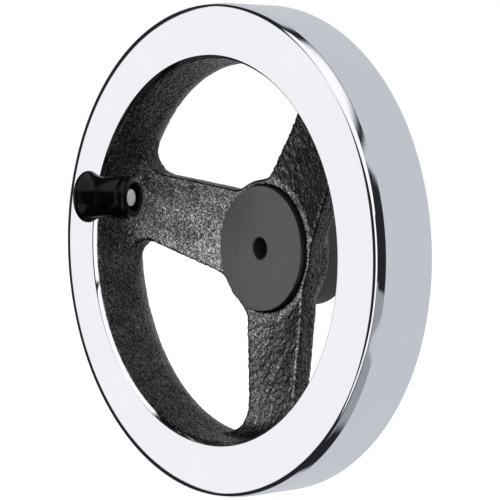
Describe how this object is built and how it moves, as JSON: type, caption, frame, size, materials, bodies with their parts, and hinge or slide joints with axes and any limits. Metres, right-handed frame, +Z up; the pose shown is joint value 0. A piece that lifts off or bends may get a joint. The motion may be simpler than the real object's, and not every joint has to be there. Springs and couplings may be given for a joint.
{
  "type": "handwheel",
  "caption": "Dished three-spoke handwheel with a plated rim, a machined hub with a pilot bore, and a fold-away revolving handle stowed inside the rim.",
  "frame": {"origin": "centre of the pilot bore at the rear face of the hub", "axes": "+Y along the bore towards the shaft that carries the wheel, -Y towards the operator, +Z up"},
  "size_m": [0.2, 0.079, 0.2],
  "materials": {
    "chrome_plate": "polished chrome plate on cast iron",
    "crinkle_casting": "black crinkle paint on a sand-cast surface",
    "machined_hub": "machined and blackened, satin",
    "blackened_steel": "black oxide",
    "bright_steel": "turned and zinc plated",
    "bronze": "sintered bronze",
    "black_plastic": "glossy moulded black"
  },
  "bodies": {
    "wheel": {"rim": "chrome_plate", "spokes": "crinkle_casting", "hub": "machined_hub", "handle_bracket": "blackened_steel", "bracket_screw": "blackened_steel", "hinge_pin": "bright_steel", "hinge_clip": "blackened_steel", "hinge_washers": "bronze"},
    "handle_arm": {"handle_spindle": "bright_steel", "thrust_washer": "bronze", "end_washer": "blackened_steel", "end_screw": "bright_steel"},
    "grip": {"grip": "black_plastic", "rear_bush": "bronze", "front_bush": "bronze"}
  },
  "joints": [
    {"name": "handle_fold", "type": "hinge", "parent": "wheel", "child": "handle_arm", "pos_m": [-0.0769, -0.0634, 0.0224], "axis": [-0.0297, 0, -0.9996], "range_deg": [0, 113.6]},
    {"name": "grip_spin", "type": "hinge", "parent": "handle_arm", "child": "grip", "pos_m": [-0.06741, -0.06864, 0.02212], "axis": [0.916, 0.4003, -0.0272], "continuous": true}
  ]
}
